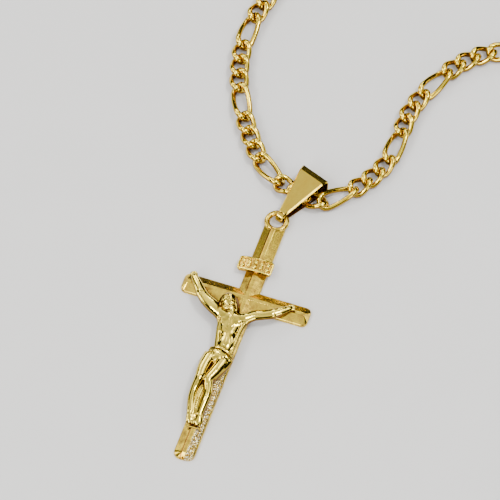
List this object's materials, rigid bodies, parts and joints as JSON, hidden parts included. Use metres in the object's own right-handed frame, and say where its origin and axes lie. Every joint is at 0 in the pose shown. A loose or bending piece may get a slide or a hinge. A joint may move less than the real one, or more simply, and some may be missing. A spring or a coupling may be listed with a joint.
{
  "type": "cross necklace",
  "caption": "Ridged cross pendant with a cast figure and a plaque, hung by an eyelet and a folded tapered bail on a closed figaro chain with a clasp",
  "frame": {"origin": "where the middle lines of the stem and the crossbar meet, on the flat back of the cross", "axes": "+Y up the stem towards the eyelet, +X along the crossbar to the right as seen from the front, +Z out of the front, away from the surface it lies on"},
  "size_m": [0.1619, 0.2152, 0.0042],
  "materials": {
    "cross": "polished gold plate with fine brushed marks",
    "figure": "polished gold plate, darker in the recesses",
    "plaque": "polished gold plate on a cast relief",
    "bail": "satin gold plate",
    "chain": "bright polished gold plate",
    "clasp": "bright polished gold plate"
  },
  "bodies": {
    "root": {"cross": "cross", "figure": "figure", "plaque": "plaque", "bail": "bail", "chain_left": "chain", "chain_right": "chain", "clasp": "clasp"}
  },
  "joints": []
}
